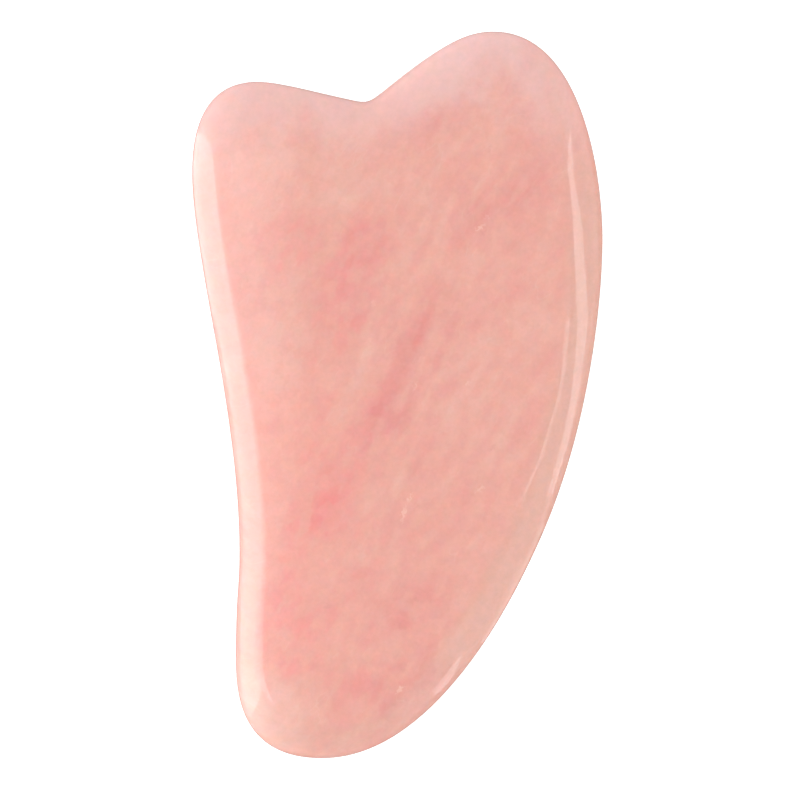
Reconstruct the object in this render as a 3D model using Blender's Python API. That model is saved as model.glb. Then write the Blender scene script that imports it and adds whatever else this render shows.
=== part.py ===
"""Gua sha scraper: a hand-held massage stone, cut and polished from one piece of rose quartz.

The stone lies on its back face. +Z is up, through the thickness, and the front face looks up. +Y runs
from the rounded tip to the notched end, and +X from the hollowed edge to the long bowed edge. The origin
is on the back face, at the centre of the outline's box. The two flat faces are alike, and a rounded rim
joins them. The rim is narrow and blunt along the hollowed edge, and wide and thin along the bowed edge.
"""

from math import ceil, cos, hypot, pi, radians, sin
from typing import NamedTuple

import bmesh
import bpy
from mathutils import Vector

MM = 0.001

# Driving dimensions, in millimetres.
LENGTH = 100.0  # from the tip to the top of the tall lobe
THICKNESS = 6.5  # from face to face
BLUNT_RIM = 4.0  # width of the rounded rim along the hollowed edge
THIN_RIM = 5.9  # width of the rim along the bowed edge
LOBE_RIM = 5.6  # width of the rim round the two lobes
NOTCH_RIM = 5.0  # width of the rim inside the notch
TIP_RIM = 6.2  # width of the rim round the tip

# How finely the outline and the rim are divided.
TURN_STEP = 7.0  # degrees of turn that take one division
REACH_STEP = 4.5  # millimetres of length that take one division
RIM_STEPS = 14  # divisions of the rim, from the back face round to the front face

STONE_NAME = "scraper_stone"
STONE_COLOUR = (0.84, 0.43, 0.36, 1.0)
STONE_ROUGHNESS = 0.12


class Knot(NamedTuple):
    """A point that the outline passes through. The outline runs anticlockwise, seen from the front."""

    x: float
    y: float
    heading: float  # the way the outline runs here, in degrees anticlockwise from +X
    before: float  # length of the handle behind the point
    after: float  # length of the handle ahead of the point
    rim: float  # width of the rounded rim here


# The outline for a stone 100 mm long. LENGTH scales it.
DRAWN_LENGTH = 100.0
OUTLINE = (
    Knot(-5.9, 40.5, 168, 1.8, 5.9, NOTCH_RIM),  # floor of the notch
    Knot(-19.3, 43.1, 180, 3.2, 4.4, LOBE_RIM),  # top of the small lobe
    Knot(-28.2, 30.6, 270, 9.9, 11.6, BLUNT_RIM),  # outer side of the small lobe
    Knot(-21.7, -21.7, 270, 19.2, 4.8, BLUNT_RIM),  # bottom of the hollow
    Knot(-22.2, -36.0, 270, 8.6, 4.2, BLUNT_RIM),  # heel, where the tip starts to turn
    Knot(-10.3, -50.0, 0, 11.8, 13.0, TIP_RIM),  # tip
    Knot(20.3, -18.5, 67, 17.2, 16.5, THIN_RIM),  # half-way up the bowed edge
    Knot(28.3, 21.3, 90, 7.8, 9.6, THIN_RIM),  # widest point of the bowed edge
    Knot(13.2, 50.0, 180, 12.1, 3.4, LOBE_RIM),  # top of the tall lobe
    Knot(-1.6, 42.0, 219, 10.6, 2.9, NOTCH_RIM),  # foot of the ramp into the notch
)


class EdgePoint(NamedTuple):
    """A place on the sampled outline."""

    at: Vector
    inward: Vector
    rim: float


def clear_scene():
    for obj in list(bpy.data.objects):
        bpy.data.objects.remove(obj)


def quartz_material():
    """The pale pink of the stone, with a hand-polished surface."""
    material = bpy.data.materials.new("rose_quartz")
    material.use_nodes = True
    shader = material.node_tree.nodes["Principled BSDF"]
    shader.inputs["Base Color"].default_value = STONE_COLOUR
    shader.inputs["Roughness"].default_value = STONE_ROUGHNESS
    shader.inputs["Metallic"].default_value = 0.0
    return material


def heading_vector(degrees):
    return Vector((cos(radians(degrees)), sin(radians(degrees))))


def steps_between(start, end):
    """How many divisions the outline takes from one knot to the next."""
    turn = abs((end.heading - start.heading + 180) % 360 - 180)
    reach = hypot(end.x - start.x, end.y - start.y)
    return ceil(turn / TURN_STEP + reach / REACH_STEP)


def edge_point(start, end, share):
    """The outline a share of the way from one knot to the next, along a cubic Bezier curve."""
    rest = 1 - share
    first = Vector((start.x, start.y))
    last = Vector((end.x, end.y))
    leaving = first + start.after * heading_vector(start.heading)
    arriving = last - end.before * heading_vector(end.heading)
    at = rest**3 * first + 3 * rest**2 * share * leaving + 3 * rest * share**2 * arriving + share**3 * last
    running = (
        rest**2 * (leaving - first) + 2 * rest * share * (arriving - leaving) + share**2 * (last - arriving)
    ).normalized()
    eased = share**2 * (3 - 2 * share)
    scale = LENGTH / DRAWN_LENGTH
    return EdgePoint(at * scale, Vector((-running.y, running.x)), start.rim + (end.rim - start.rim) * eased)


def sampled_outline():
    """The whole outline as a closed run of edge points, anticlockwise."""
    points = []
    for start, end in zip(OUTLINE, OUTLINE[1:] + OUTLINE[:1]):
        steps = steps_between(start, end)
        points += [edge_point(start, end, step / steps) for step in range(steps)]
    return points


def rim_ring(bm, outline, share):
    """The ring of points a share of the way round the rim, on a half ellipse from back to front."""
    angle = pi * (share - 0.5)
    height = THICKNESS / 2 * (1 + sin(angle))
    ring = []
    for point in outline:
        place = point.at + point.rim * (1 - cos(angle)) * point.inward
        ring.append(bm.verts.new((place.x * MM, place.y * MM, height * MM)))
    return ring


def stone_mesh():
    """Two flat faces, joined round the outline by the rounded rim."""
    bm = bmesh.new()
    outline = sampled_outline()
    rings = [rim_ring(bm, outline, step / RIM_STEPS) for step in range(RIM_STEPS + 1)]
    bm.faces.new(reversed(rings[0]))
    for lower, upper in zip(rings, rings[1:]):
        for i in range(len(outline)):
            ahead = (i + 1) % len(outline)
            bm.faces.new((lower[i], lower[ahead], upper[ahead], upper[i]))
    bm.faces.new(rings[-1])
    mesh = bpy.data.meshes.new(STONE_NAME)
    bm.to_mesh(mesh)
    bm.free()
    mesh.shade_smooth()
    mesh.set_sharp_from_angle(angle=radians(30))
    return mesh


def add_stone():
    """The scraper's only piece. It has no fasteners, no hole and nothing that moves."""
    stone = bpy.data.objects.new(STONE_NAME, stone_mesh())
    stone.data.materials.append(quartz_material())
    bpy.context.scene.collection.objects.link(stone)


clear_scene()
add_stone()
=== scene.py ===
"""Looks of the gua sha scraper: one polished piece of rose quartz on a pale floor.

Places and sizes in the stone are in millimetres, and those in the studio are in metres. Both are in the
CAD's frame: +X runs from the hollowed edge to the bowed edge, +Y from the tip to the lobes, and +Z from the
back face to the front face.
"""

from math import cos, pi, radians, sin
from typing import NamedTuple

import bmesh
import bpy
import numpy as np
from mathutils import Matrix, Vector, noise
from mathutils.geometry import delaunay_2d_cdt


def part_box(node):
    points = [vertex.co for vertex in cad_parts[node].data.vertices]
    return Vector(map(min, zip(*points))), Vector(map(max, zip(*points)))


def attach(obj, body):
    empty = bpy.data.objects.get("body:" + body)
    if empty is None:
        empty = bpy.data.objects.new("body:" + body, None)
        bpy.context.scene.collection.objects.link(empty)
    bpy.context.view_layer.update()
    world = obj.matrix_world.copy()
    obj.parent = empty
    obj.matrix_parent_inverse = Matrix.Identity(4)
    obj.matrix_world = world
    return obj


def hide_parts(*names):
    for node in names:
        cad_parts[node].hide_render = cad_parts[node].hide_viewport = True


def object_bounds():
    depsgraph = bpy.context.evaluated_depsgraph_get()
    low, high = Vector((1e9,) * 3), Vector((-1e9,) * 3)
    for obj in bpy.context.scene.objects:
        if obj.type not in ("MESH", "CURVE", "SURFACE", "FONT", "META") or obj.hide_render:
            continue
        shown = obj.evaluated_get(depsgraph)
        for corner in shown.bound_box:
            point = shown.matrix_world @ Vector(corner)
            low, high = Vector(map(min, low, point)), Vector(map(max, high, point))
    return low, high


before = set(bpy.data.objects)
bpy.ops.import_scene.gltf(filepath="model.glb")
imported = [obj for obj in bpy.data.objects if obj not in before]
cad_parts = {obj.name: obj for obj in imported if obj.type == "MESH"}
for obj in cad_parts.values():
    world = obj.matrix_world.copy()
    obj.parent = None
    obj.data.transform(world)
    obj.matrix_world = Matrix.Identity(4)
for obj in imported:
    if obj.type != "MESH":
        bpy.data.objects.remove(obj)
cad_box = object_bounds()

MM = 0.001
NODE = "scraper_stone"
BODY = "root"

# ---- The shape of the stone ----

OUTLINE_POINTS = 420  # points round the outline
FACE_EDGE_POINTS = 8 * OUTLINE_POINTS  # points round the edge of a flat face, from which the rim is measured
RIM_STEPS = 36  # divisions of the rounded rim, from the back face round to the front face
FACE_GRID = 0.7  # spacing of the points inside a flat face
BORDER_ROOM = 0.55  # how near to its border a point inside a face may be, as a share of the spacing
FILL_TOLERANCE = 1e-7  # points closer than this are one when a face is filled
POLISH_DEPTH = 0.06  # how deep the hand-polished surface dips
WIDE_DIPS = 13.0  # size of the wide dips from polishing
NARROW_DIPS = 5.0  # size of the narrow dips from polishing
SOFT_REACH = 0.6  # how much further in a soft rim reaches than a crisp one, as a share of the rim
# Where the rim is soft: a centre, and how far from it the rim is fully soft and fully crisp.
SOFT_SPOTS = (((-18, 42), 4, 12), ((8, 49), 6, 16), ((-10, -50), 6, 14))

# How the CAD mesh is read, in metres.
SAME_POINT = 1e-7  # vertices closer than this are one
SAME_HEIGHT = 1e-6  # vertices within this of a height are at it
FLAT = 0.9999  # a face whose normal has at least this much Z is flat


def cad_ring(height):
    """The CAD stone's points at one height, as a closed run of (x, y) in millimetres, anticlockwise."""
    bm = bmesh.new()
    bm.from_mesh(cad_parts[NODE].data)
    bmesh.ops.remove_doubles(bm, verts=bm.verts, dist=SAME_POINT)
    run = walk_round(ring_neighbours(bm, height))
    ring = np.array([(v.co.x, v.co.y) for v in run]) / MM
    bm.free()
    return ring if signed_area(ring) > 0 else ring[::-1]


def ring_neighbours(bm, height):
    """The vertices at a height, each with the ones that it meets along an edge of the rim."""
    neighbours = {v: [] for v in bm.verts if abs(v.co.z - height) < SAME_HEIGHT}
    for edge in bm.edges:
        a, b = edge.verts
        inside_a_face = all(abs(face.normal.z) > FLAT for face in edge.link_faces)
        if a in neighbours and b in neighbours and not inside_a_face:
            neighbours[a].append(b)
            neighbours[b].append(a)
    return neighbours


def walk_round(neighbours):
    """The vertices of a closed ring in order, from the one that is furthest along +X."""
    start = max(neighbours, key=lambda v: v.co.x)
    run = [start]
    before = None
    while True:
        ahead = [v for v in neighbours[run[-1]] if v is not before]
        before = run[-1]
        if len(run) > 1 and start in ahead or not ahead:
            return run
        run.append(ahead[0])


def signed_area(ring):
    """The area inside a closed run of points, which is above 0 if the run is anticlockwise."""
    x, y = ring.T
    return 0.5 * float(np.sum(x * np.roll(y, -1) - np.roll(x, -1) * y))


def spline_bends(ring, gaps):
    """The second derivative at each point of the closed cubic spline through a ring's points."""
    size = len(ring)
    system = np.zeros((size, size))
    target = np.zeros((size, 2))
    for i in range(size):
        ahead = (i + 1) % size
        system[i, i - 1] += gaps[i - 1]
        system[i, i] += 2 * (gaps[i - 1] + gaps[i])
        system[i, ahead] += gaps[i]
        target[i] = 6 * ((ring[ahead] - ring[i]) / gaps[i] - (ring[i] - ring[i - 1]) / gaps[i - 1])
    return np.linalg.solve(system, target)


def smooth_ring(ring, count):
    """A closed cubic spline through a ring's points, resampled evenly. Gives points and inward normals."""
    size = len(ring)
    gaps = np.linalg.norm(np.roll(ring, -1, 0) - ring, axis=1)
    bends = spline_bends(ring, gaps)
    starts = np.concatenate([[0], np.cumsum(gaps)])

    def at(where):
        where = where % starts[-1]
        i = np.clip(np.searchsorted(starts, where, side="right") - 1, 0, size - 1)
        ahead = (i + 1) % size
        gap = gaps[i][:, None]
        left = (starts[i + 1] - where)[:, None]
        right = (where - starts[i])[:, None]
        return (
            bends[i] * left**3 / (6 * gap)
            + bends[ahead] * right**3 / (6 * gap)
            + (ring[i] / gap - bends[i] * gap / 6) * left
            + (ring[ahead] / gap - bends[ahead] * gap / 6) * right
        )

    where = np.linspace(0, starts[-1], count, endpoint=False)
    step = 1e-3
    along = at(where + step) - at(where - step)
    along /= np.linalg.norm(along, axis=1)[:, None]
    return at(where), np.stack([-along[:, 1], along[:, 0]], 1)


def nearest(points, others):
    """The distance from each point to the nearest of the others, and which one that is."""
    gaps = np.linalg.norm(points[:, None, :] - others[None, :, :], axis=2)
    return gaps.min(axis=1), gaps.argmin(axis=1)


def eased(value, start, end):
    """0 up to the start and 1 from the end on, with a smooth way between."""
    share = np.clip((value - start) / (end - start), 0.0, 1.0)
    return share * share * (3 - 2 * share)


def softness(places):
    """How gently the rim runs out into the faces: 0 along the two long edges, 1 at the lobes and the tip."""
    soft = np.zeros(len(places))
    for centre, near, far in SOFT_SPOTS:
        away = np.linalg.norm(places - np.array(centre), axis=1)
        soft = np.maximum(soft, 1 - eased(away, near, far))
    return soft


def rise(inset, rim, soft):
    """How far the face has risen at an inset from the outline: 0 at the waist and 1 on the flat."""
    reach = rim * (1 + SOFT_REACH * soft)
    power = 2 * reach / rim
    return np.sqrt(1 - np.clip(1 - inset / reach, 0, 1) ** power)


def hand_polish(place):
    """How deep the surface lies below the true shape at a place."""
    wide = noise.noise(place / WIDE_DIPS)
    narrow = noise.noise(place / NARROW_DIPS + Vector((31, 7, 3)))
    return 0.5 * POLISH_DEPTH * (1 + 0.8 * wide + 0.2 * narrow)


def inside(points, ring):
    """Which points lie inside a closed run of points."""
    x = points[:, 0][:, None]
    y = points[:, 1][:, None]
    ax, ay = ring.T
    bx, by = np.roll(ax, -1), np.roll(ay, -1)
    crosses = (ay > y) != (by > y)
    with np.errstate(divide="ignore", invalid="ignore"):
        where = ax + (y - ay) * (bx - ax) / (by - ay)
    return (crosses & (x < where)).sum(axis=1) % 2 == 1


def even_points(low, high):
    """Points in staggered rows over a box, each as far from its neighbours as the next."""
    row = FACE_GRID * sin(pi / 3)
    points = []
    for j in range(int((high[1] - low[1]) / row) + 1):
        shift = 0.5 * (j % 2)
        for i in range(int((high[0] - low[0]) / FACE_GRID) + 2):
            points.append((low[0] + (i + shift) * FACE_GRID, low[1] + j * row))
    return np.array(points)


def face_grid(border):
    """Near-regular points and triangles that fill a flat face. The border's own points come first."""
    grid = even_points(border.min(0), border.max(0))
    grid = grid[inside(grid, border)]
    grid = grid[nearest(grid, border)[0] > BORDER_ROOM * FACE_GRID]
    count = len(border)
    points = np.concatenate([border, grid])
    loop = [(i, (i + 1) % count) for i in range(count)]
    made = delaunay_2d_cdt([Vector(p) for p in points], loop, [], 1, FILL_TOLERANCE)
    origin = [sources[0] for sources in made[3]]
    return points, [[origin[i] for i in face] for face in made[2]]


class Skin:
    """The surface of the stone as it is built.

    For the material, each vertex keeps its inset from the outline, and its edge value, which is 1 at the
    outline and 0 on the flat faces.
    """

    def __init__(self):
        low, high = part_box(NODE)
        self.middle = (low.z + high.z) / 2
        self.half = (high.z - low.z) / 2
        self.outline, self.inward = smooth_ring(cad_ring(self.middle), OUTLINE_POINTS)
        face_edge, _ = smooth_ring(cad_ring(high.z), FACE_EDGE_POINTS)
        self.rim, _ = nearest(self.outline, face_edge)
        self.soft = softness(self.outline)
        self.bm = bmesh.new()
        self.inset_layer = self.bm.verts.layers.float.new("inset")
        self.edge_layer = self.bm.verts.layers.float.new("edge")

    def add(self, place, inset, i, side):
        """A vertex near point i of the outline, on the front (side 1) or on the back (side -1)."""
        height = self.middle + side * self.half * rise(inset, self.rim[i], self.soft[i])
        vertex = self.bm.verts.new((place[0] * MM, place[1] * MM, height))
        vertex[self.inset_layer] = inset
        vertex[self.edge_layer] = max(0.0, 1 - inset / self.rim[i])
        return vertex

    def add_rim(self):
        """The rounded rim, from the back face round to the front face. Gives its first and last rings."""
        rings = []
        for step in range(RIM_STEPS + 1):
            angle = pi * (step / RIM_STEPS - 0.5)
            insets = self.rim * (1 - cos(angle))
            places = self.outline + insets[:, None] * self.inward
            side = 1 if angle > 0 else -1
            rings.append([self.add(places[i], insets[i], i, side) for i in range(OUTLINE_POINTS)])
        for lower, upper in zip(rings, rings[1:]):
            for i in range(OUTLINE_POINTS):
                ahead = (i + 1) % OUTLINE_POINTS
                self.bm.faces.new((lower[i], lower[ahead], upper[ahead], upper[i]))
        return rings[0], rings[-1]

    def add_faces(self, back_ring, front_ring):
        """The two flat faces, each filled inside its ring with small, even triangles."""
        border = self.outline + self.rim[:, None] * self.inward
        places, triangles = face_grid(border)
        inner = places[len(border) :]
        insets, owners = nearest(inner, self.outline)
        for side, ring in ((1, front_ring), (-1, back_ring)):
            filling = [self.add(*vertex, side) for vertex in zip(inner, insets, owners)]
            corners = ring + filling
            for triangle in triangles:
                self.bm.faces.new([corners[i] for i in triangle[::side]])

    def polish(self):
        """Lowers each vertex to where the hand polishing left the surface."""
        self.bm.normal_update()
        for vertex in self.bm.verts:
            vertex.co -= vertex.normal * hand_polish(vertex.co / MM) * MM


def stone_mesh():
    """The whole stone as one closed surface."""
    skin = Skin()
    back_ring, front_ring = skin.add_rim()
    skin.add_faces(back_ring, front_ring)
    skin.polish()
    mesh = bpy.data.meshes.new("polished_stone")
    skin.bm.to_mesh(mesh)
    skin.bm.free()
    mesh.shade_smooth()
    return mesh


# ---- The pattern in the stone ----


class Cloud(NamedTuple):
    """A soft patch inside the stone, longer than it is wide."""

    x: float
    y: float
    long: float
    wide: float
    angle: float  # the way its long side runs, in degrees anticlockwise from +X
    strength: float


# Where the pink is deep.
DEEP_CLOUDS = (
    Cloud(-4, 20, 12, 8, 55, 0.50),
    Cloud(-8, 11, 14, 9, 60, 0.45),
    Cloud(-15, 21, 10, 7, 20, 0.35),
    Cloud(3, 8.5, 15, 5.5, 60, 0.35),
    Cloud(-3, -4, 17, 7, 60, 0.45),
    Cloud(-10, -16, 13, 8.5, 62, 0.70),
    Cloud(-16, -29, 13, 6, 72, 0.40),
    Cloud(-6, -27, 12, 7, 60, 0.28),
    Cloud(1, -29, 11, 7, 30, 0.35),
    Cloud(-12.5, -35, 11, 6, 60, 0.35),
    Cloud(6, 38, 14, 6, 10, 0.35),
    Cloud(19, 29, 13, 7, 45, 0.35),
    Cloud(11.5, 24, 12, 6, 52, 0.35),
    Cloud(11, 11, 14, 5, 40, 0.25),
    Cloud(-5, -40, 13, 8, 10, 0.48),
    Cloud(4, -37, 14, 9, 45, 0.48),
    Cloud(2, -1, 12, 8, 60, 0.22),
    Cloud(3, -12, 14, 8, 60, 0.20),
    Cloud(5, -23, 12, 7, 50, 0.20),
)

# Where the stone is pale.
PALE_CLOUDS = (
    Cloud(-18, 31, 18, 10, 10, 0.30),
    Cloud(-7, 28, 10, 6, 30, 0.40),
    Cloud(-17, 4, 14, 9, 80, 0.35),
    Cloud(13, 2, 20, 10, 60, 0.17),
    Cloud(-18, -44, 20, 12, 45, 0.55),
)

# The deep pink streaks and blots that stand out most.
DEEP_MARKS = (
    Cloud(5.2, 13.2, 6.0, 1.6, 64, 0.40),
    Cloud(3.2, 8.8, 5.5, 3.2, 60, 0.85),
    Cloud(0.8, 4.6, 6.5, 2.8, 60, 0.65),
    Cloud(-1.6, -0.2, 6.5, 3.0, 57, 0.60),
    Cloud(-3.8, -3.6, 7.0, 3.0, 52, 0.45),
    Cloud(7.6, 9.4, 5.0, 1.5, 68, 0.40),
    Cloud(5.8, 5.0, 4.5, 1.4, 66, 0.45),
    Cloud(2.4, -0.8, 5.0, 1.3, 62, 0.45),
    Cloud(1.0, -4.4, 4.5, 1.2, 62, 0.35),
    Cloud(10.9, 15.0, 7.0, 1.2, 58, 0.35),
    Cloud(12.4, 27.6, 10.0, 1.0, 52, 0.40),
    Cloud(17.0, 26.8, 8.0, 1.3, 47, 0.35),
    Cloud(19.5, 29.8, 3.5, 2.0, 40, 0.30),
    Cloud(-10.3, 12.8, 4.0, 2.6, 40, 0.25),
    Cloud(-6.4, 13.9, 3.6, 2.4, 30, 0.30),
    Cloud(-2.9, 14.4, 3.4, 1.8, 60, 0.35),
    Cloud(-5.1, 10.0, 4.4, 2.6, 60, 0.30),
    Cloud(-5.6, 21.8, 5.0, 2.6, 50, 0.30),
    Cloud(-2.4, 18.6, 5.0, 2.6, 62, 0.30),
    Cloud(-9.8, -1.8, 5.0, 2.2, 75, 0.35),
    Cloud(-12.4, -7.4, 5.5, 2.8, 70, 0.30),
    Cloud(-8.2, -15.4, 7.4, 4.6, 60, 0.26),
    Cloud(-10.4, -18.2, 4.6, 3.8, 40, 0.24),
    Cloud(-1.5, -19.0, 5.6, 2.4, 78, 0.40),
    Cloud(-4.4, -24.4, 3.6, 1.6, 8, 0.40),
    Cloud(-15.5, -26.0, 6.0, 3.0, 75, 0.15),
    Cloud(0.2, -31.0, 4.4, 3.4, 10, 0.75),
    Cloud(3.2, -27.4, 4.6, 2.8, 30, 0.30),
    Cloud(-4.0, -33.0, 5.4, 3.2, 50, 0.40),
    Cloud(8.4, -14.2, 3.8, 3.0, 30, 0.30),
    Cloud(-13.0, -33.0, 5.4, 2.2, 60, 0.40),
    Cloud(-14.8, -37.2, 4.4, 2.8, 50, 0.30),
    Cloud(7.6, -31.4, 2.4, 1.3, 25, 0.30),
    Cloud(-1.5, -37.6, 3.0, 2.2, 40, 0.25),
)

# The pale streaks that stand out most.
PALE_MARKS = (
    Cloud(-4.1, 4.6, 20.0, 2.2, 65, 0.30),
    Cloud(5.4, 1.5, 16.0, 0.9, 62, 0.26),
    Cloud(1.8, 0.8, 15.0, 0.9, 63, 0.26),
    Cloud(7.2, -2.6, 10.0, 0.9, 68, 0.20),
    Cloud(11.4, 28.4, 9.0, 0.8, 60, 0.28),
    Cloud(17.8, 27.4, 6.0, 0.6, 50, 0.30),
    Cloud(-1.6, 26.0, 8.0, 1.0, 62, 0.25),
    Cloud(-4.6, -21.4, 4.0, 2.0, 70, 0.30),
    Cloud(0.0, -13.0, 9.0, 1.4, 64, 0.20),
)

# Tiny fractures near the surface, with painted glints where they catch the light.
FLECKS = (
    Cloud(11.3, 22.8, 1.7, 0.6, 48, 0.40),
    Cloud(12.2, 24.2, 0.9, 0.5, 20, 0.20),
    Cloud(0.9, -16.2, 2.2, 0.45, 76, 0.40),
    Cloud(1.8, -14.0, 1.2, 0.45, 60, 0.35),
    Cloud(2.5, 1.3, 1.0, 0.5, 70, 0.25),
    Cloud(9.6, 1.6, 0.9, 0.5, 30, 0.25),
    Cloud(11.3, -12.8, 1.4, 0.6, 20, 0.30),
    Cloud(0.4, -40.2, 1.6, 0.5, 35, 0.35),
    Cloud(-3.2, 12.5, 1.0, 0.5, 60, 0.15),
)

# Tiny dark specks near the surface.
SPECKS = (
    Cloud(1.9, -27.9, 2.4, 0.6, 4, 0.22),
    Cloud(-9.6, -28.9, 0.9, 0.8, 0, 0.30),
    Cloud(5.1, -37.5, 1.6, 0.6, 84, 0.22),
    Cloud(12.8, -7.3, 1.5, 0.5, 35, 0.25),
    Cloud(11.8, 22.2, 1.0, 0.5, 30, 0.25),
    Cloud(12.5, 33.5, 1.0, 0.6, 50, 0.18),
)

THROUGH = 1000.0  # half the thickness of a cloud, so large that the cloud runs right through the stone
GRAIN = 59  # the way the stone's streaks run, in degrees anticlockwise from +X
GRAIN_DIP = 20  # how steeply the streaks run down into the stone, in degrees
CLOUD_LEVEL = 5.0  # the height at which a cloud is where its x and y say
LEAN = (0.9, -0.55)  # how far a cloud leans towards -X and -Y for each millimetre below that
DEEP_SIGHT = 1.6  # how far inside the polish the clouds are seen
SHALLOW_SIGHT = 0.4  # how far inside the polish the finest grain is seen

REFRACTIVE_INDEX = 1.54
POLISH_ROUGHNESS = 0.03
RIPPLE_DEPTH = 0.0015  # how deep the polishing ripples are
SCATTER = (3.0, 2.2, 1.9)  # how far red, green and blue light travel inside the stone

# The plain colour of the stone, from no pink to full pink.
PINKS = (
    (0.00, (0.700, 0.455, 0.397, 1)),
    (0.45, (0.680, 0.368, 0.315, 1)),
    (1.00, (0.640, 0.274, 0.253, 1)),
)
PLAIN_PINK = 0.44  # how deep the pink is where there is no cloud
FLUSHED_PINK = 0.55  # the pink above which the stone is redder on the hollowed side
LEAST_FLUSH = -0.04  # how far below that the pink still makes it less red
LOBE_MILK = (0.695, 0.510, 0.503, 1)  # the milk near the rim of the lobes
THIN_EDGE_BEIGE_AND_LIGHT = (0.675, 0.390, 0.323, 1)  # the thin, bowed edge: its own beige, made paler as painted light where the rim turns away from the light
# the painted glint of the tiny fractures
FLECK_GLINT = (0.80, 0.58, 0.51, 1)
SPECK_RED = (0.56, 0.27, 0.24, 1)

# What the colour is multiplied by.
UNCHANGED = (1, 1, 1, 1)
PAINTED_SIDE_LIGHT = (1.12, 1.19, 1.245, 1)  # painted light along the hollowed edge
PAINTED_HEEL_HIGHLIGHT = (1.0, 1.10, 1.07, 1)  # a painted highlight on the crest of its rim, near the tip


class Graph:
    """Short names for shader nodes."""

    def __init__(self, owner):
        owner.use_nodes = True
        self.tree = owner.node_tree

    def node(self, kind, inputs, **settings):
        """A new node with its inputs, which are values or sockets, and its settings."""
        made = self.tree.nodes.new("ShaderNode" + kind)
        for name, value in settings.items():
            setattr(made, name, value)
        for slot, value in inputs.items():
            self.feed(made.inputs[slot], value)
        return made

    def feed(self, socket, value):
        """Links a socket to an input, or sets the input to a plain value."""
        if isinstance(value, bpy.types.NodeSocket):
            self.tree.links.new(value, socket)
        else:
            socket.default_value = value

    def maths(self, operation, *values):
        return self.node("Math", dict(enumerate(values)), operation=operation).outputs[0]

    def vector(self, operation, first, second):
        made = self.node("VectorMath", {0: first}, operation=operation)
        self.feed(made.inputs["Scale" if operation == "SCALE" else 1], second)
        return made.outputs[0]

    def measure(self, operation, inputs):
        """A vector operation that gives a number, such as a length or a dot product."""
        return self.node("VectorMath", inputs, operation=operation).outputs["Value"]

    def total(self, *values):
        """The sum of (value, weight) pairs and plain values."""
        running = 0.0
        for value in values:
            value, weight = value if isinstance(value, tuple) else (value, 1.0)
            running = self.maths("MULTIPLY_ADD", value, weight, running)
        return running

    def ease(self, value, start, end):
        """0 up to the start and 1 from the end on, with a smooth way between. It can also run down."""
        inputs = {"Value": value, "From Min": start, "From Max": end}
        return self.node("MapRange", inputs, interpolation_type="SMOOTHSTEP", clamp=False).outputs[0]

    def mask(self, *runs):
        """1 where each (value, start, end) has come to its end, and 0 where any is still at its start."""
        share = self.ease(*runs[0])
        for run in runs[1:]:
            share = self.maths("MULTIPLY", share, self.ease(*run))
        return share

    def mix(self, share, first, second):
        """A colour between two others. Inputs 6 and 7 and output 2 are the node's colour sockets."""
        inputs = {"Factor": share, 6: first, 7: second}
        return self.node("Mix", inputs, data_type="RGBA").outputs[2]

    def ramp(self, value, stops):
        """The colour for a value, from (value, colour) stops in rising order."""
        made = self.node("ValToRGB", {"Fac": value})
        elements = made.color_ramp.elements
        elements[0].position, elements[0].color = stops[0]
        elements[1].position, elements[1].color = stops[-1]
        for position, colour in stops[1:-1]:
            elements.new(position).color = colour
        return made.outputs["Color"]

    def noise(self, where, size, detail=2.0, roughness=0.5):
        """Smooth noise from about -1 to 1, with lumps of about a size in millimetres."""
        inputs = {"Vector": where, "Scale": 1 / size, "Detail": detail, "Roughness": roughness}
        made = self.node("TexNoise", inputs)
        return self.maths("MULTIPLY_ADD", made.outputs["Fac"], 4.0, -2.0)

    def shifts(self, where, size, detail):
        """Three noises as a vector, each from about 0 to 1."""
        inputs = {"Vector": where, "Scale": 1 / size, "Detail": detail}
        return self.node("TexNoise", inputs).outputs["Color"]

    def frayed(self, where, size, detail, reach):
        """The place moved any way by noise, so that a shape drawn there has an uneven edge."""
        shift = self.vector("SUBTRACT", self.shifts(where, size, detail), (0.5, 0.5, 0.5))
        return self.vector("ADD", where, self.vector("SCALE", shift, reach))

    def local(self, where, at, turn, size):
        """The place as an ellipsoid sees it, whose middle is at 0 and whose surface is 1 from there."""
        inputs = {"Vector": where, "Location": at, "Rotation": turn, "Scale": size}
        return self.node("Mapping", inputs, vector_type="TEXTURE").outputs[0]

    def grained(self, where, at, stretch):
        """The place in the grain's own frame, so that noise made there is stretched along the grain."""
        return self.local(where, at, (0, radians(GRAIN_DIP), radians(GRAIN)), stretch)


class Sight(NamedTuple):
    """What the material knows of the place that it colours. Each value is a shader socket."""

    deep: bpy.types.NodeSocket  # the place among the clouds that is seen through the polish
    shallow: bpy.types.NodeSocket  # the place just inside the polish
    across: bpy.types.NodeSocket  # the x of the deep place
    up: bpy.types.NodeSocket  # the y of the deep place
    inset: bpy.types.NodeSocket  # how far in from the outline the surface is
    edge: bpy.types.NodeSocket  # 1 at the outline, and 0 on the flat faces
    lumps: bpy.types.NodeSocket  # smooth noise in large lumps


def place_inside(g, depth):
    """Where the sight line through the polished surface is, at a distance inside the stone."""
    geometry = g.node("NewGeometry", {})
    bent = g.node("VectorMath", {"Scale": 1 / REFRACTIVE_INDEX}, operation="REFRACT")
    g.feed(bent.inputs[0], g.vector("SCALE", geometry.outputs["Incoming"], -1.0))
    g.feed(bent.inputs[1], geometry.outputs["Normal"])
    surface = g.vector("SCALE", g.node("TexCoord", {}).outputs["Object"], 1 / MM)
    return g.vector("ADD", surface, g.vector("SCALE", bent.outputs[0], depth))


def dipped(g, where):
    """The clouds lean through the thickness, so the two faces differ and the rim shows slanted bands."""
    height = g.node("SeparateXYZ", {0: where}).outputs[2]
    below = g.maths("SUBTRACT", CLOUD_LEVEL, height)
    lean = {axis: g.maths("MULTIPLY", below, slope) for axis, slope in enumerate(LEAN)}
    return g.vector("ADD", where, g.node("CombineXYZ", lean).outputs[0])


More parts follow.
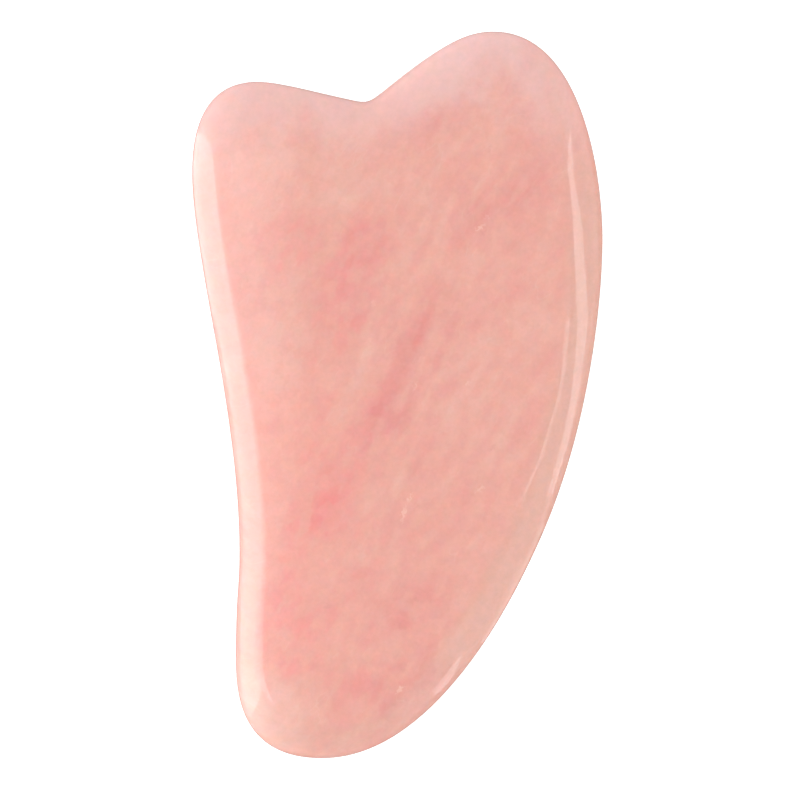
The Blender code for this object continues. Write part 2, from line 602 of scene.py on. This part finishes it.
def sight_inside(g):
    deep = dipped(g, place_inside(g, DEEP_SIGHT))
    parts = g.node("SeparateXYZ", {0: deep})
    return Sight(
        deep=deep,
        shallow=place_inside(g, SHALLOW_SIGHT),
        across=parts.outputs[0],
        up=parts.outputs[1],
        inset=g.node("Attribute", {}, attribute_name="inset").outputs["Fac"],
        edge=g.node("Attribute", {}, attribute_name="edge").outputs["Fac"],
        lumps=g.noise(deep, size=7.0, detail=4.0, roughness=0.65),
    )


def clouds(g, where, kinds, outer=1.5, inner=0.1):
    """How thick the clouds are at a place, from 0 up.

    A cloud starts at the outer share of its size and is full within the inner share. The spherical gradient
    keeps it to a few values in the shader's small memory, which many clouds would otherwise overflow.
    """
    amount = 0.0
    for cloud in kinds:
        size = (outer * cloud.long / 2, outer * cloud.wide / 2, THROUGH)
        seen = g.local(where, (cloud.x, cloud.y, 0), (0, 0, radians(cloud.angle)), size)
        near = g.node("TexGradient", {"Vector": seen}, gradient_type="SPHERICAL").outputs["Fac"]
        amount = g.maths("MULTIPLY_ADD", g.ease(near, 0.0, 1 - inner / outer), cloud.strength, amount)
    return amount


def dab_weight(g, crumbled):
    """How strongly the deep clouds show, which short dabs along the grain vary."""
    place = g.grained(crumbled, at=(3, 33, 7), stretch=(2.1, 1.0, 1.3))
    dabs = g.noise(place, size=1.5, detail=0.0)
    return g.total(0.28, (g.ease(dabs, -0.2, 0.3), 0.27))


def blots(g, crumbled):
    """Small pink blots with clear edges."""
    place = g.grained(crumbled, at=(17, 3, 5), stretch=(1.7, 1.0, 1.0))
    return g.ease(g.noise(place, size=1.6), -0.15, 0.3)


def veins(g, sight, swayed):
    """Thin pale veins along the grain, in some regions only."""
    place = g.grained(swayed, at=(60, 8, 2), stretch=(8.0, 1.0, 1.2))
    from_middle = g.maths("ABSOLUTE", g.noise(place, size=1.5, detail=0.0))
    return g.mask((from_middle, 0.12, 0.0), (g.noise(sight.deep, size=4.0), 0.1, 0.6))


def streaks(g, sight, swayed):
    """Short streaks along the grain and their weight, which is larger away from the hollowed edge."""
    place = g.grained(swayed, at=(0, 0, 0), stretch=(3.2, 1.0, 1.6))
    short = g.noise(place, size=2.0, detail=1.4, roughness=0.4)
    return short, g.maths("MULTIPLY_ADD", g.ease(sight.across, -18.0, -2.0), 0.05, 0.05)


def lines(g, sight, swayed):
    """Long lines along the grain and their weight, which is nil on the hollowed side and at the tip."""
    place = g.grained(swayed, at=(5, 70, 2), stretch=(9.0, 1.0, 2.0))
    long = g.noise(place, size=1.5, detail=0.3)
    region = g.mask((sight.across, -8.0, 0.0), (sight.up, -28.0, -8.0))
    return long, g.maths("MULTIPLY", region, 0.05)


def pinkness(g, sight):
    """How deep the pink is: about 0 in the palest stone and 1 in the deepest marks."""
    ragged = g.frayed(sight.deep, size=6.0, detail=3.0, reach=8.0)
    uneven = g.frayed(sight.deep, size=2.0, detail=1.5, reach=1.6)
    crumbled = g.frayed(sight.deep, size=1.2, detail=2.0, reach=0.9)
    sway = g.vector("SCALE", g.shifts(sight.deep, size=9.0, detail=0.0), 4.0)
    swayed = g.vector("ADD", sight.deep, sway)
    return g.total(
        PLAIN_PINK,
        (clouds(g, ragged, DEEP_CLOUDS), dab_weight(g, crumbled)),
        (clouds(g, ragged, PALE_CLOUDS), -0.42),
        (clouds(g, uneven, DEEP_MARKS, outer=1.2, inner=0.5), 0.30),
        (clouds(g, uneven, PALE_MARKS, outer=1.25, inner=0.35), -0.34),
        streaks(g, sight, swayed),
        lines(g, sight, swayed),
        (blots(g, crumbled), 0.08),
        (sight.lumps, 0.08),
        (veins(g, sight, swayed), -0.11),
    )


def milky_lobes(g, sight, colour):
    """The pale milk near the rim of the two lobes, thicker in the tall lobe and thin at the bowed edge."""
    inset = g.total(sight.inset, (sight.lumps, 3.0))
    tall_lobe = g.ease(sight.across, 0.0, 8.0)
    bowed_edge = g.ease(sight.across, 15.0, 23.0)
    thickness = g.total(0.55, (tall_lobe, 0.10), (bowed_edge, -0.28))
    milk = g.maths("MULTIPLY", g.mask((inset, 12.0, 2.0), (sight.up, 27.0, 42.0)), thickness)
    return g.mix(milk, colour, LOBE_MILK)


def thin_edge_beige_and_light(g, sight, colour):
    """The beige of the thin, bowed edge, between the tall lobe and the tip. It is partly the edge's own tint
    and partly painted light, paler where the rim turns away from the light.
    """
    along = ((sight.up, 46.0, 16.0), (sight.up, -42.0, -33.0))
    thin = g.mask((sight.edge, -0.05, 0.35), (sight.across, -6.0, 6.0), *along)
    # partly the edge's own beige, partly painted light that brightens the rim where it turns from the light
    return g.mix(g.maths("MULTIPLY", thin, 0.7), colour, THIN_EDGE_BEIGE_AND_LIGHT)


def grainy(g, sight, colour, pink):
    """The colour with small changes in brightness, red and blue.

    It is redder low on the hollowed side, and where the pink is deep on that side.
    """
    warmth = g.noise(g.vector("ADD", sight.shallow, (40, 0, 9)), size=1.2, detail=3.0, roughness=0.6)
    bloom = g.noise(g.vector("ADD", sight.deep, (90, 0, 0)), size=1.8, detail=4.0, roughness=0.7)
    mottle = g.noise(sight.shallow, size=0.5, detail=2.0, roughness=0.6)
    rim = g.mask((sight.edge, 0.0, 0.5), (sight.up, 38.0, 24.0))
    low_side = g.mask((sight.across, -1.0, -12.0), (sight.up, 10.0, -4.0), (sight.up, -42.0, -34.0))
    flush = g.maths("MAXIMUM", g.maths("SUBTRACT", pink, FLUSHED_PINK), LEAST_FLUSH)
    flush = g.maths("MULTIPLY", flush, g.ease(sight.across, 1.0, -9.0))
    brightness = g.total(1.0, (warmth, 0.022), (mottle, 0.017))
    red = g.total(1.0, (warmth, 0.028), (rim, -0.05), (low_side, 0.036), (flush, 0.17))
    blue = g.total(1.0, (bloom, 0.052), (mottle, 0.010), (flush, 0.06))
    tint = g.node("CombineXYZ", {0: red, 1: 1.0, 2: blue}).outputs[0]
    return g.vector("MULTIPLY", g.vector("SCALE", colour, brightness), tint)


def rim_with_painted_light(g, sight, colour):
    """The colour with painted light: brighter along the hollowed edge, and with a painted highlight on the
    crest of its rim near the tip.
    """
    # painted light: the colour is made paler along the hollowed edge
    lit = g.mask((sight.across, -10.0, -24.0), (sight.up, 42.0, 30.0))
    colour = g.vector("MULTIPLY", colour, g.mix(lit, UNCHANGED, PAINTED_SIDE_LIGHT))
    # a painted highlight along the crest of the rim near the tip
    crest = ((sight.edge, 0.1, 0.4), (sight.edge, 0.85, 0.6))
    heel = ((sight.across, -12.0, -18.0), (sight.up, -20.0, -27.0), (sight.up, -47.0, -41.0))
    return g.vector("MULTIPLY", colour, g.mix(g.mask(*crest, *heel), UNCHANGED, PAINTED_HEEL_HIGHLIGHT))


def flecked(g, sight, colour):
    """The colour with the painted glints of its tiny fractures, and its dark specks."""
    crumpled = g.frayed(sight.shallow, size=0.5, detail=2.0, reach=1.6)
    # painted glints where the tiny fractures catch the light
    colour = g.mix(clouds(g, crumpled, FLECKS), colour, FLECK_GLINT)
    return g.mix(clouds(g, crumpled, SPECKS), colour, SPECK_RED)


def stone_colour(g, sight):
    pink = pinkness(g, sight)
    colour = g.ramp(pink, PINKS)
    colour = milky_lobes(g, sight, colour)
    colour = thin_edge_beige_and_light(g, sight, colour)
    colour = grainy(g, sight, colour, pink)
    colour = rim_with_painted_light(g, sight, colour)
    return flecked(g, sight, colour)


def add_polish(g, shader, sight):
    """A glossy surface with faint ripples and smudges."""
    ripple = g.noise(sight.shallow, size=1.1)
    bump = g.node("Bump", {"Height": ripple, "Distance": RIPPLE_DEPTH * MM})
    smudges = g.noise(sight.shallow, size=9.0, detail=5.0, roughness=0.6)
    g.feed(shader.inputs["Normal"], bump.outputs[0])
    g.feed(shader.inputs["Roughness"], g.total(POLISH_ROUGHNESS, (smudges, 0.012)))
    shader.inputs["IOR"].default_value = REFRACTIVE_INDEX


def add_scatter(shader):
    """All the light that enters the stone is scattered under its surface."""
    shader.inputs["Subsurface Weight"].default_value = 1.0
    shader.inputs["Subsurface Radius"].default_value = SCATTER
    shader.inputs["Subsurface Scale"].default_value = MM


def quartz_material():
    """Milky rose quartz: pink clouds and fine parallel streaks under a polished surface."""
    material = bpy.data.materials.new("polished_rose_quartz")
    g = Graph(material)
    shader = material.node_tree.nodes["Principled BSDF"]
    sight = sight_inside(g)
    g.feed(shader.inputs["Base Color"], stone_colour(g, sight))
    add_polish(g, shader, sight)
    add_scatter(shader)
    return material


def add_stone():
    stone = bpy.data.objects.new("polished_stone", stone_mesh())
    stone.data.materials.append(quartz_material())
    bpy.context.scene.collection.objects.link(stone)
    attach(stone, BODY)
    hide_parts(NODE)


# ---- The studio ----

FLOOR_HALF = 3.0  # half the side of the floor
FLOOR_LIGHT = 0.5  # how brightly the floor lights the stone, at the least


class Panel(NamedTuple):
    """An upright glowing panel on the bowed side of the stone. Its corners are (y, z).

    The floor doesn't show in reflections, so a panel can run below it.
    """

    name: str
    x: float
    radiance: float
    corners: tuple


TALL_STRIP = (
    (0.155, 0.33),
    (0.140, 0.68),
    (0.105, 0.68),
    (0.075, 0.66),
    (0.055, 0.62),
    (0.035, 0.53),
    (0.014, 0.42),
    (-0.01, 0.31),
    (-0.055, 0.20),
    (-0.12, 0.155),
    (-0.12, 0.01),
    (-0.055, 0.045),
    (-0.01, 0.11),
    (0.03, 0.28),
    (0.06, 0.34),
    (0.115, 0.45),
    (0.15, 0.29),
)
TAIL_STRIP = ((-0.12, 0.155), (-0.15, 0.03), (-0.26, -0.06), (-0.27, -0.36), (-0.15, -0.14), (-0.12, 0.01))
LOW_STRIP = (
    (-0.292, 0.17),
    (-0.31, 0.26),
    (-0.345, 0.22),
    (-0.385, 0.22),
    (-0.37, 0.02),
    (-0.34, -0.05),
    (-0.318, 0.04),
)
WALL = (
    (0.30, 0.0),
    (0.30, 0.50),
    (-0.03, 0.50),
    (-0.10, 0.60),
    (-0.24, 0.72),
    (-0.42, 1.20),
    (-0.60, 1.20),
    (-0.60, 0.0),
)
PIN_STRIP = (
    (0.015, 0.80),
    (-0.023, 0.62),
    (-0.045, 0.57),
    (-0.07, 0.65),
    (-0.10, 0.74),
    (-0.146, 1.12),
    (-0.150, 0.86),
    (-0.10, 0.57),
    (-0.07, 0.50),
    (-0.045, 0.44),
    (-0.023, 0.47),
    (0.012, 0.60),
)
# The strips make the thin lines of light along the bowed edge, and the wall behind them makes its dim sheen.
PANELS = (
    Panel("tall_strip", 0.30, 3.0, TALL_STRIP),
    Panel("tail_strip", 0.30, 1.5, TAIL_STRIP),
    Panel("low_strip", 0.30, 2.8, LOW_STRIP),
    Panel("wall", 0.33, 0.9, WALL),
    Panel("pin_strip", 0.30, 2.1, PIN_STRIP),
)

# The window makes the broad band of light along the hollowed edge. It is upright up to its knee, and from
# there to its top it leans over the stone. Its corners are (y, z).
WINDOW = (
    (-0.30, -0.09),
    (-0.30, 0.01),
    (-0.14, 0.52),
    (0.08, 0.52),
    (0.18, 0.01),
    (0.18, -0.35),
    (-0.03, -0.35),
    (-0.048, -0.09),
)
WINDOW_FOOT_X = -0.42
WINDOW_TOP_X = -0.19
WINDOW_KNEE = 0.01
WINDOW_TOP = 0.52
WINDOW_RADIANCE = 2.4
WINDOW_CLIMB = (0, 0, 2.2)

# The eave lies level from the window's top, and fades inwards. It carries the window's band of light on over
# the shoulder of the rim, and shows only in reflections.
EAVE_INNER_X = -0.075
EAVE_Y = (-0.16, 0.10)
EAVE_RADIANCE = 0.24
EAVE_CLIMB = (-9, -9, 0)

# The greys of the room: the light that it gives, and what reflections show of it.
ROOM_LIGHT = (1.07, 1.07, 1.07, 1)
ROOM_BELOW = (0.12, 0.12, 0.12, 1)
ROOM_ABOVE = (0.32, 0.32, 0.32, 1)
ROOM_HORIZON = (0.9, 0.9, 0.9, 1)
BACKDROP = (1.0, 1.0, 1.0, 1)

LENS = 100  # focal length of the camera, in millimetres
SENSOR = 36  # width of the camera's sensor, in millimetres
VIEW_WIDTH = 108.97 * MM  # what the picture spans at the height of the stone's waist
VIEW_CENTRE = (-0.14 * MM, -0.16 * MM)  # the place that the camera is straight above


def softbox(name, corners, radiance, climb=(0, 0, 0)):
    """A glowing panel that lights the stone and isn't seen by the camera.

    The radiance is its brightness at the origin, and the climb is how much brighter it is a metre along
    each axis.
    """
    mesh = bpy.data.meshes.new(name)
    mesh.from_pydata(corners, [], [tuple(range(len(corners)))])
    box = bpy.data.objects.new(name, mesh)
    bpy.context.scene.collection.objects.link(box)
    material = bpy.data.materials.new(name)
    g = Graph(material)
    material.node_tree.nodes.clear()
    place = g.node("NewGeometry", {}).outputs["Position"]
    gain = g.measure("DOT_PRODUCT", {0: place, 1: climb})
    glow = g.node("Emission", {"Strength": g.maths("ADD", gain, radiance)}).outputs[0]
    g.node("OutputMaterial", {"Surface": glow})
    mesh.materials.append(material)
    box.visible_camera = False
    return box


def window_corners():
    corners = []
    for y, z in WINDOW:
        lean = max(0.0, (z - WINDOW_KNEE) / (WINDOW_TOP - WINDOW_KNEE))
        corners.append((WINDOW_FOOT_X + (WINDOW_TOP_X - WINDOW_FOOT_X) * lean, y, z))
    return corners


def eave_corners():
    low, high = EAVE_Y
    ends = ((WINDOW_TOP_X, low), (EAVE_INNER_X, low), (EAVE_INNER_X, high), (WINDOW_TOP_X, high))
    return [(x, y, WINDOW_TOP) for x, y in ends]


def add_panels():
    softbox("window", window_corners(), WINDOW_RADIANCE, WINDOW_CLIMB)
    eave = softbox("eave", eave_corners(), EAVE_RADIANCE, EAVE_CLIMB)
    eave.visible_diffuse = False
    for panel in PANELS:
        softbox(panel.name, [(panel.x, y, z) for y, z in panel.corners], panel.radiance)


def add_room():
    """Even white light from all round. Reflections show a dim room instead, with a bright horizon."""
    world = bpy.data.worlds.new("studio")
    bpy.context.scene.world = world
    g = Graph(world)
    path = g.node("LightPath", {})
    height = g.node("SeparateXYZ", {0: g.node("TexCoord", {}).outputs["Generated"]}).outputs[2]
    reflected = g.mix(g.ease(height, -0.1, 0.3), ROOM_BELOW, ROOM_ABOVE)
    horizon = g.ease(g.maths("ABSOLUTE", height), 0.12, 0.03)
    reflected = g.mix(horizon, reflected, ROOM_HORIZON)
    colour = g.mix(path.outputs["Is Glossy Ray"], ROOM_LIGHT, reflected)
    colour = g.mix(path.outputs["Is Camera Ray"], colour, BACKDROP)
    g.feed(world.node_tree.nodes["Background"].inputs["Color"], colour)


def floor_glow(g):
    """The floor glows, so that it looks white from above and far off, and so that it lights the stone."""
    geometry = g.node("NewGeometry", {})
    sides = {0: geometry.outputs["Incoming"], 1: geometry.outputs["Normal"]}
    from_above = g.ease(g.measure("DOT_PRODUCT", sides), 0.75, 0.95)
    far_off = g.ease(g.measure("LENGTH", {0: geometry.outputs["Position"]}), 0.10, 0.30)
    seen = g.total(0.04, (from_above, 0.46), (far_off, 0.96))
    unseen = g.maths("SUBTRACT", 1.0, g.node("LightPath", {}).outputs["Is Camera Ray"])
    return g.maths("MAXIMUM", seen, g.maths("MULTIPLY", unseen, FLOOR_LIGHT))


def floor_material():
    material = bpy.data.materials.new("floor")
    g = Graph(material)
    shader = material.node_tree.nodes["Principled BSDF"]
    shader.inputs["Base Color"].default_value = (0.8, 0.8, 0.8, 1)
    shader.inputs["Roughness"].default_value = 0.9
    shader.inputs["Specular IOR Level"].default_value = 0.0
    shader.inputs["Emission Color"].default_value = (1, 1, 1, 1)
    g.feed(shader.inputs["Emission Strength"], floor_glow(g))
    return material


def add_floor():
    """A plain pale floor at the stone's back face, which doesn't show in reflections."""
    height = cad_box[0].z
    sides = ((-1, -1), (1, -1), (1, 1), (-1, 1))
    mesh = bpy.data.meshes.new("floor")
    mesh.from_pydata([(FLOOR_HALF * x, FLOOR_HALF * y, height) for x, y in sides], [], [(0, 1, 2, 3)])
    mesh.materials.append(floor_material())
    floor = bpy.data.objects.new("floor", mesh)
    bpy.context.scene.collection.objects.link(floor)
    floor.visible_glossy = False


def add_camera():
    """Straight above the stone, as far off as makes the picture span its width."""
    low, high = cad_box
    data = bpy.data.cameras.new("camera")
    data.lens = LENS
    data.sensor_width = SENSOR
    camera = bpy.data.objects.new("camera", data)
    bpy.context.scene.collection.objects.link(camera)
    distance = VIEW_WIDTH * LENS / SENSOR
    camera.location = (*VIEW_CENTRE, (low.z + high.z) / 2 + distance)
    bpy.context.scene.camera = camera
    bpy.context.scene.view_settings.view_transform = "Standard"


add_stone()
add_floor()
add_room()
add_panels()
add_camera()
